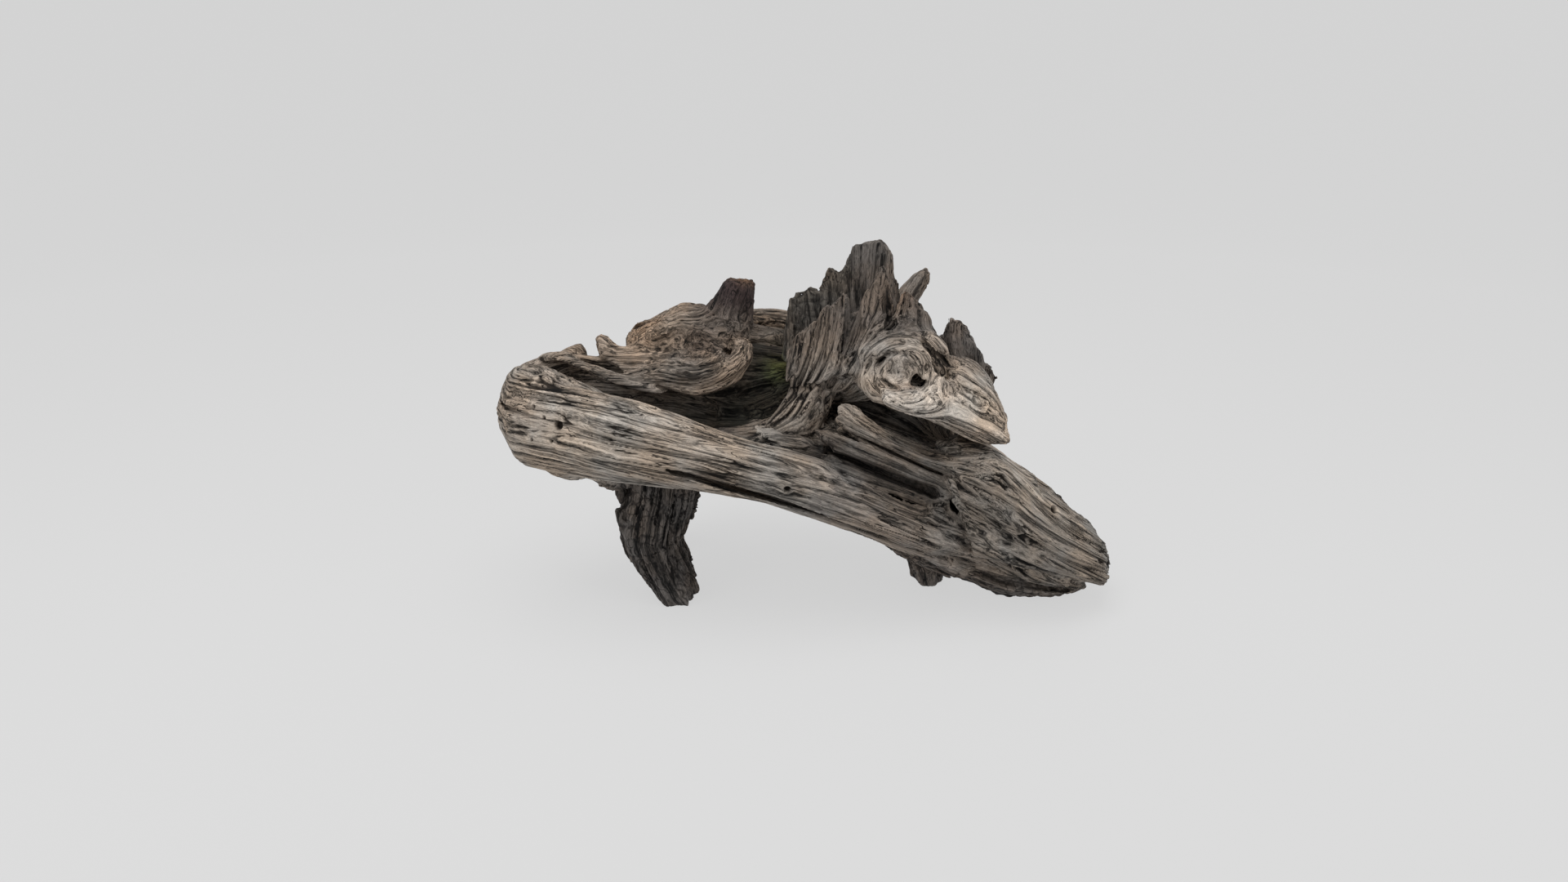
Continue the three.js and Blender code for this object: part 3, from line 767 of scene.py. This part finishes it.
def foldsAt(places):
    # raised rings round each knot
    change = np.zeros(len(places), np.float32)
    for middle, facing, half, _, height, spacing in knots.values():
        if height == 0:
            continue
        axis = np.array(facing, float) / np.linalg.norm(facing)
        offset = places - spot(middle)[0]
        near = np.flatnonzero((np.abs(offset) < folds["reach"] * hundredths(half)).all(1))
        offset = offset[near]
        flat = offset - (offset @ axis)[:, None] * axis
        gap = np.linalg.norm(flat, axis=1)
        wander = folds["wander"] * noiseAt(5, places[near], folds["wanderCell"])
        fade = np.exp(-(np.linalg.norm(offset, axis=1) / hundredths(half) / folds["fade"]) ** 2)
        fade *= 1 - folds["below"] * smoothStep(0, hundredths(half), -offset[:, 2])
        fade *= smoothStep(*folds["plainMiddle"], gap / hundredths(half))
        change[near] += height * np.cos(2 * math.pi * gap / spacing + 2 * wander) * fade
    return change


def addRibs():
    strands, where, places = makeStrands()
    print("strands worked out at", len(where), "cells")
    thin, other, third, broad = (strands.reshape(-1, 5)[where, k] for k in range(4))
    look = lookAt(places)
    change = ribs["ribHeight"] * np.tanh(thin) * look[:, 3] + ribs["broadHeight"] * np.tanh(broad)
    change += foldsAt(places)
    change -= ribs["splitDepth"] * smoothStep(ribs["splitFrom"], ribs["splitTo"], other) * look[:, 4]
    blocks = np.abs(noiseAt(4, places, ribs["blockCell"]))
    change -= ribs["blockHeight"] * (1 - smoothStep(0.05, ribs["blockWidth"], blocks)) * look[:, 6]
    body.ravel()[where] -= change.astype(np.float32)
    return strands


strands = addRibs()
up = (np.arange(gridCount[2]) + gridFirst[2]) * voxel
body = np.maximum(body, -up[None, None, :].astype(np.float32))
print("ribs and splits cut")


def surfaceOf(field):
    grid = openvdb.FloatGrid(float(band))
    grid.copyFromArray(field.astype(np.float32), ijk=tuple(int(v) for v in gridFirst))
    grid.transform = transform
    points, quads = grid.convertToQuads(0.0)
    a, b, c, d = (points[quads[:, k].astype(int)] for k in range(4))
    volume = np.einsum("ij,ij->", a, np.cross(b, c)) + np.einsum("ij,ij->", a, np.cross(c, d))
    return points.astype(float), (quads[:, ::-1] if volume < 0 else quads).astype(np.int64)


def connected(quads, count):
    # every point takes the lowest number that its faces reach
    label = np.arange(count)
    order = np.argsort(quads.ravel(), kind="stable")
    starts = np.searchsorted(quads.ravel()[order], label)
    face = order // 4
    while True:
        new = np.minimum.reduceat(label[quads].min(1)[face], starts)
        new = new[new]
        if (new == label).all():
            return label
        label = new


def largestPiece(points, quads):
    # loose crumbs are dropped
    label = connected(quads, len(points))
    use = label == np.bincount(label).argmax()
    number = np.cumsum(use) - 1
    return points[use], number[quads[use[quads[:, 0]]]]


def makeMesh(name, points, quads):
    mesh = bpy.data.meshes.new(name)
    mesh.vertices.add(len(points))
    mesh.vertices.foreach_set("co", points.astype(np.float32).ravel())
    mesh.loops.add(4 * len(quads))
    mesh.loops.foreach_set("vertex_index", quads.astype(np.int32).ravel())
    mesh.polygons.add(len(quads))
    mesh.polygons.foreach_set("loop_start", np.arange(0, 4 * len(quads), 4, dtype=np.int32))
    mesh.update(calc_edges=True)
    return mesh


points, quads = largestPiece(*surfaceOf(body))
coarse = bpy.data.objects.new("coarse", makeMesh("coarse", points, quads))
bpy.context.scene.collection.objects.link(coarse)
finer = coarse.modifiers.new("finer", "SUBSURF")
finer.levels = 1
bpy.context.view_layer.update()
wood = bpy.data.meshes.new_from_object(coarse.evaluated_get(bpy.context.evaluated_depsgraph_get()))
wood.name = "driftwoodSkin"
bpy.data.objects.remove(coarse)
skin = bpy.data.objects.new("driftwoodSkin", wood)
bpy.context.scene.collection.objects.link(skin)
print("surface has", len(wood.polygons), "faces")

# fine grain, cracks and holes on the surface
relief = {
    "lineTurns": 1.25,          # how many lines go into one strand value
    "lineDrift": 0.2,           # metres along the wood in which they change as much
    "lineContrast": 1.5,
    "lineHeight": 0.0008,
    "crackTurns": 0.6,
    "crackDrift": 0.25,
    "crackWidth": 0.24,
    "crackDepth": 0.0030,
    "patchCell": 0.035,         # cracks come and go over this distance
    "patchEdge": (-0.2, 0.7),
    "blockEdge": (0.04, 0.22),
    "blockDark": 0.8,
}
boreWall = {
    "depth": 0.008,
    "from": -0.01,              # metres along the hole, from its mouth
    "to": 0.07,
    "facing": 0.2,              # faces that look further into the wood are left alone
    "edge": (0.7, 1.35),        # where its wall starts and ends, in half sizes
}
# how enclosed each place is, which darkens its colour: partly less bleached wood, partly painted shade
shelterAndShade = {
    "step": 4,                  # cells averaged together
    "rounds": 4,                # how often they are then evened out with their neighbours
    "ahead": 0.022,             # how far in front of the surface it is read
}
tintWander = 0.25               # how uneven the patches are, and over what distance
tintCell = 0.008
# near-black used for painted shade under overhangs and under the block
paintedShadeColour = (0.040, 0.035, 0.031)
patches = {                     # middle, half size in hundredths, colour, how fully it covers
    "knobPale": ((15, 0, 54), 6, (0.42, 0.37, 0.32), 0.55),
    "knobTop": ((9, 14, 62), 6, (0.40, 0.35, 0.31), 0.4),
    "hornTop": ((38.4, 66, 89.5), 1.8, (0.34, 0.21, 0.13), 0.9),
    "humpTan": ((21, 56, 72), 6, (0.36, 0.25, 0.17), 0.6),
    "spikeTan": ((14, 56, 74), 2, (0.28, 0.19, 0.13), 0.6),
    "rust": ((63.5, 22, 64), 1.6, (0.14, 0.06, 0.03), 0.7),
    "crestRust": ((63.5, 42, 87), 2.2, (0.20, 0.13, 0.09), 0.6),
    "moss": ((44, 60, 62.8), 2.3, (0.33, 0.39, 0.12), 0.9),
    "noseKnot": ((74.5, 27, 60), 3.2, (0.48, 0.42, 0.35), 0.6),
    # painted shade under the lower lip and its planks, below the hem and left of the block's cliff
    "lipShadeLeft": ((53, 17, 46), 3.0, paintedShadeColour, 0.85),
    "lipShadeMiddle": ((59.5, 15, 42), 3.2, paintedShadeColour, 0.85),
    "lipShadeRight": ((66, 14, 37.5), 3.4, paintedShadeColour, 0.85),
    "hemShade": ((47, 15, 47.4), 2.3, paintedShadeColour, 0.85),
    "cliffShade": ((67.9, 17, 41.8), 2.1, paintedShadeColour, 0.9),
    # painted shade under the split-off block, over the low slab
    "underBlockShadeLeft": ((69.5, 6, 17), 4.2, paintedShadeColour, 0.97),
    "underBlockShadeMiddle": ((76, 5, 14), 4.4, paintedShadeColour, 0.97),
    "underBlockShadeRight": ((83, 9, 9), 4.2, (0.045, 0.040, 0.036), 0.95),
    "backPale": ((40, 98, 55), 9, (0.26, 0.24, 0.215), 0.5),
}


def readPoints(mesh):
    co = np.empty(len(mesh.vertices) * 3, np.float32)
    mesh.vertices.foreach_get("co", co)
    normals = np.empty(len(mesh.vertices) * 3, np.float32)
    mesh.vertex_normals.foreach_get("vector", normals)
    return co.reshape(-1, 3), normals.reshape(-1, 3)


def keep(mesh, name, kind, values):
    layer = mesh.attributes.new(name, kind, "POINT")
    field = {"FLOAT": "value", "FLOAT_VECTOR": "vector", "FLOAT_COLOR": "color"}[kind]
    layer.data.foreach_set(field, np.ascontiguousarray(values, np.float32).ravel())


def shelterAndShadeOf(places, normals):
    # how much wood stands around each place: hollows and undersides are darkened by it, partly as less
    # sun-bleached wood and partly as painted shade
    step = shelterAndShade["step"]
    solid = (body < 0).astype(np.float32)
    shape = np.array(solid.shape) // step
    trimmed = solid[:shape[0] * step, :shape[1] * step, :shape[2] * step]
    share = trimmed.reshape(shape[0], step, shape[1], step, shape[2], step).mean((1, 3, 5))
    for _ in range(shelterAndShade["rounds"]):
        for axis in range(3):
            share = (share + np.roll(share, 1, axis) + np.roll(share, -1, axis)) / 3
    at = (places + normals * np.float32(shelterAndShade["ahead"])) / voxel - gridFirst
    return sample(share[..., None], (at - (step - 1) / 2) / step, False)[:, 0]


def drill(places, normals, height, dark):
    for mouth, way, half in bores.values():
        way = np.array(way) / np.linalg.norm(way)
        offset = places - spot(mouth)[0]
        along = offset @ way
        gap = np.linalg.norm(offset - along[:, None] * way, axis=1)
        near = (along > boreWall["from"]) & (along < boreWall["to"]) & (normals @ way < boreWall["facing"])
        inner, outer = boreWall["edge"]
        inside = np.where(near, 1 - smoothStep(inner * half, outer * half, gap), 0)
        height -= boreWall["depth"] * inside
        np.maximum(dark, inside, out=dark)


def tintOf(places, look):
    tint = look[:, :3].copy()
    for middle, half, colour, cover in patches.values():
        gap = np.linalg.norm(places - spot(middle)[0], axis=1) / hundredths(half)
        wander = 1 - tintWander + tintWander * np.tanh(noiseAt(5, places, tintCell))
        share = cover * np.exp(-gap ** 2) * wander
        tint += share[:, None] * (np.array(colour, np.float32) - tint)
    return tint


def addRelief(mesh):
    places, normals = readPoints(mesh)
    held = sample(strands, places / voxel - gridFirst, False)
    look = lookAt(places)
    lines = noiseAt(2, held[:, :3] * relief["lineTurns"] + places / relief["lineDrift"], 1)
    lines = np.tanh(relief["lineContrast"] * lines)
    cracks = np.abs(noiseAt(3, held[:, :3] * relief["crackTurns"] + places / relief["crackDrift"], 1))
    patch = smoothStep(*relief["patchEdge"], noiseAt(1, places, relief["patchCell"]))
    willing = np.minimum(1.3 * look[:, 4] + 0.25, 1)
    opened = (1 - smoothStep(0.05, relief["crackWidth"], cracks)) * patch * willing
    height = relief["lineHeight"] * lines * look[:, 5] - relief["crackDepth"] * opened
    blocks = np.abs(noiseAt(4, places, ribs["blockCell"]))
    split = (1 - smoothStep(*relief["blockEdge"], blocks)) * look[:, 6]
    dark = np.maximum(opened, relief["blockDark"] * split)
    drill(places, normals, height, dark)
    moved = places + normals * height[:, None]
    moved[:, 2] = np.maximum(moved[:, 2], 0)
    mesh.vertices.foreach_set("co", moved.astype(np.float32).ravel())
    keep(mesh, "strand", "FLOAT_VECTOR", held[:, :3])
    keep(mesh, "broad", "FLOAT", 0.5 + 0.25 * held[:, 3] + 0.1 * held[:, 0])
    keep(mesh, "lines", "FLOAT", 0.5 + 0.45 * lines)
    keep(mesh, "crack", "FLOAT", dark)
    keep(mesh, "shelterAndShade", "FLOAT", np.clip(shelterAndShadeOf(places, normals), 0, 1))
    tint = tintOf(places, look)
    keep(mesh, "tint", "FLOAT_COLOR", np.concatenate([tint, np.ones((len(tint), 1), np.float32)], 1))
    mesh.update()


addRelief(wood)
wood.shade_smooth()
print("fine grain laid")

# a flat map of the surface, for baking: large patches that each face one of six ways
bakeSheet = {
    "evenRounds": 12,           # how far the facing is evened out before it is chosen
    "voteRounds": 6,            # how often faces then take their neighbours' choice
    "spare": 1.25,              # sheet area for each patch area
    "gap": 0.004,               # metres round each patch
}


def facingOf(points, quads):
    a, b, c, d = (points[quads[:, k]] for k in range(4))
    normals = np.cross(c - a, d - b)
    corners = quads.ravel()
    for _ in range(bakeSheet["evenRounds"]):
        normals /= np.linalg.norm(normals, axis=1)[:, None] + 1e-12
        held = [np.bincount(corners, np.repeat(normals[:, k], 4), len(points)) for k in range(3)]
        normals = np.stack(held, -1)[quads].sum(1)
    axis = np.abs(normals).argmax(1)
    facing = 2 * axis + (normals[np.arange(len(quads)), axis] > 0)
    for _ in range(bakeSheet["voteRounds"]):
        votes = np.bincount(6 * corners + np.repeat(facing, 4), minlength=6 * len(points)).reshape(-1, 6)
        facing = votes[quads].sum(1).argmax(1)
    return facing


def patchNumbers(quads, facing):
    # neighbouring faces that face the same way make one patch
    used, corners = np.unique(6 * quads + facing[:, None], return_inverse=True)
    corners = corners.reshape(quads.shape)
    label = connected(corners, len(used))
    return np.unique(label[corners[:, 0]], return_inverse=True)[1]


def packRows(wide, tall):
    # tallest patches first, in rows on a square sheet
    sheet = max(math.sqrt((wide * tall).sum() * bakeSheet["spare"]), wide.max())
    corner = np.zeros((len(wide), 2))
    across = up = rowTall = 0
    for k in np.argsort(-tall):
        if across + wide[k] > sheet:
            across, up, rowTall = 0, up + rowTall, 0
        corner[k] = across, up
        across += wide[k]
        rowTall = max(rowTall, tall[k])
    return corner, max(sheet, up + rowTall)


def layBakeMap(mesh, points, quads):
    facing = facingOf(points, quads)
    patch = patchNumbers(quads, facing)
    finer = len(mesh.polygons) // len(quads)
    facing, patch = (np.repeat(values, 4 * finer) for values in (facing, patch))
    co, _ = readPoints(mesh)
    vertex = np.empty(len(mesh.loops), np.int32)
    mesh.loops.foreach_get("vertex_index", vertex)
    place = co[vertex]
    flat = np.where((facing < 2)[:, None], place[:, [1, 2]],
                    np.where((facing < 4)[:, None], place[:, [0, 2]], place[:, [0, 1]]))
    order = np.argsort(patch, kind="stable")
    starts = np.searchsorted(patch[order], np.arange(patch.max() + 1))
    first = np.minimum.reduceat(flat[order], starts)
    extent = np.maximum.reduceat(flat[order], starts) - first
    turned = extent[:, 1] > extent[:, 0]        # every patch lies on its long side
    flat = np.where(turned[patch][:, None], flat[:, ::-1], flat)
    first, extent = (np.where(turned[:, None], pair[:, ::-1], pair) for pair in (first, extent))
    corner, sheet = packRows(*(extent + 2 * bakeSheet["gap"]).T)
    flat = (flat - first[patch] + corner[patch] + bakeSheet["gap"]) / sheet
    layer = mesh.uv_layers.new(name="OFBake")
    layer.uv.foreach_set("vector", flat.astype(np.float32).ravel())
    print("bake map laid with", len(first), "patches on a sheet", round(sheet, 2), "m wide")


layBakeMap(wood, points, quads)

finish = {
    "grainScale": 1.25,         # fine lines for each strand value
    "grainDrift": 5.0,          # how fast they change along the wood, for each metre
    "hairScale": 3.2,
    "hairlineScale": 0.75,
    "speckleScale": 900,
    "cloudScale": 13,
    "lineDark": 0.06,
    "linePale": 1.75,
    "hairTone": (0.36, 0.6, 0.55, 1.18),      # from, to, darkest and palest
    "broadTone": (0.0, 1.0, 0.86, 1.14),
    "speckleTone": (0.3, 0.7, 0.86, 1.14),
    "crackTone": (0.05, 0.042, 0.036, 1),
    # colour that enclosed places go towards: painted shade and less bleached wood
    "shelterShadeTone": (0.20, 0.175, 0.145, 1),
    "shelterShadeFrom": 0.44,
    "shelterShadeTo": 0.74,
    "warm": (1.10, 0.99, 0.87, 1),
    "cool": (0.97, 1.0, 1.01, 1),
    "roughness": (0.92, 0.74),  # in the grooves, and on the ridges
    "specular": 0.25,
    "bumpHeight": 0.0011,
    "bumpStrength": 0.9,
}


def weatheredWood():
    material = bpy.data.materials.new("weatheredWood")
    material.use_nodes = True
    nodes, links = material.node_tree.nodes, material.node_tree.links
    shader = nodes["Principled BSDF"]
    shader.inputs["Specular IOR Level"].default_value = finish["specular"]

    def stored(name, output="Fac"):
        node = nodes.new("ShaderNodeAttribute")
        node.attribute_name = name
        return node.outputs[output]

    def arithmetic(operation, a, b=None, clamp=False):
        node = nodes.new("ShaderNodeMath")
        node.operation = operation
        node.use_clamp = clamp
        for socket, value in zip(node.inputs, (a, b)):
            if isinstance(value, (int, float)):
                socket.default_value = value
            elif value is not None:
                links.new(value, socket)
        return node.outputs[0]

    def spread(value, fromLow, fromHigh, toLow=0.0, toHigh=1.0):
        node = nodes.new("ShaderNodeMapRange")
        links.new(value, node.inputs["Value"])
        ends = {"From Min": fromLow, "From Max": fromHigh, "To Min": toLow, "To Max": toHigh}
        for name, number in ends.items():
            node.inputs[name].default_value = number
        return node.outputs["Result"]

    def noise(vector, scale, detail, roughness=0.6):
        node = nodes.new("ShaderNodeTexNoise")
        links.new(vector, node.inputs["Vector"])
        node.inputs["Scale"].default_value = scale
        node.inputs["Detail"].default_value = detail
        node.inputs["Roughness"].default_value = roughness
        return node.outputs["Fac"]

    def blend(kind, share, a, b):
        node = nodes.new("ShaderNodeMix")
        node.data_type = "RGBA"
        node.blend_type = kind
        if isinstance(share, (int, float)):
            node.inputs["Factor"].default_value = share
        else:
            links.new(share, node.inputs["Factor"])
        for socket, value in ((node.inputs["A"], a), (node.inputs["B"], b)):
            if isinstance(value, tuple):
                socket.default_value = value
            else:
                links.new(value, socket)
        return node.outputs["Result"]

    place = nodes.new("ShaderNodeTexCoord").outputs["Object"]
    drift = nodes.new("ShaderNodeVectorMath")
    drift.operation = "MULTIPLY_ADD"
    links.new(place, drift.inputs[0])
    drift.inputs[1].default_value = [finish["grainDrift"]] * 3
    links.new(stored("strand", "Vector"), drift.inputs[2])
    along = drift.outputs["Vector"]
    grain = noise(along, finish["grainScale"], 3, 0.7)
    hair = noise(along, finish["hairScale"], 2, 0.7)
    speckle = noise(place, finish["speckleScale"], 1)
    cloud = noise(place, finish["cloudScale"], 3)
    coarse = arithmetic("ADD", arithmetic("MULTIPLY", spread(grain, 0.30, 0.70), 0.6),
                        arithmetic("MULTIPLY", stored("lines"), 0.4))
    tone = arithmetic("MULTIPLY", spread(coarse, 0.22, 0.50, finish["lineDark"], 1.0),
                      spread(coarse, 0.35, 0.9, 0.9, finish["linePale"]))
    tone = arithmetic("MULTIPLY", tone, spread(hair, *finish["hairTone"]))
    tone = arithmetic("MULTIPLY", tone, spread(stored("broad"), *finish["broadTone"]))
    tone = arithmetic("MULTIPLY", tone, spread(speckle, *finish["speckleTone"]))
    grey = nodes.new("ShaderNodeCombineColor")
    for socket in grey.inputs[:3]:
        links.new(tone, socket)
    colour = blend("MULTIPLY", 1.0, stored("tint", "Color"), grey.outputs["Color"])
    weather = blend("MIX", spread(cloud, 0.38, 0.62), finish["cool"], finish["warm"])
    colour = blend("MULTIPLY", 1.0, colour, weather)
    # painted shade with less bleached wood: the colour darkens where much wood stands round
    colour = blend("MULTIPLY", spread(stored("shelterAndShade"), finish["shelterShadeFrom"], finish["shelterShadeTo"]), colour,
                   finish["shelterShadeTone"])
    hairline = arithmetic("ABSOLUTE", arithmetic("SUBTRACT", noise(along, finish["hairlineScale"], 1), 0.5))
    hairline = arithmetic("MULTIPLY", spread(hairline, 0.004, 0.022, 1, 0), spread(cloud, 0.42, 0.6))
    opened = arithmetic("MAXIMUM", stored("crack"), hairline)
    colour = blend("MULTIPLY", spread(opened, 0.0, 0.8), colour, finish["crackTone"])
    links.new(colour, shader.inputs["Base Color"])
    links.new(spread(coarse, 0.1, 0.9, *finish["roughness"]), shader.inputs["Roughness"])
    bump = nodes.new("ShaderNodeBump")
    bump.inputs["Distance"].default_value = finish["bumpHeight"]
    bump.inputs["Strength"].default_value = finish["bumpStrength"]
    raised = arithmetic("ADD", coarse, arithmetic("MULTIPLY", hair, 0.4))
    links.new(arithmetic("SUBTRACT", raised, hairline), bump.inputs["Height"])
    links.new(bump.outputs["Normal"], shader.inputs["Normal"])
    return material


wood.materials.clear()
wood.materials.append(weatheredWood())

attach(skin, "root")
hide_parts("driftwood")

print("done")
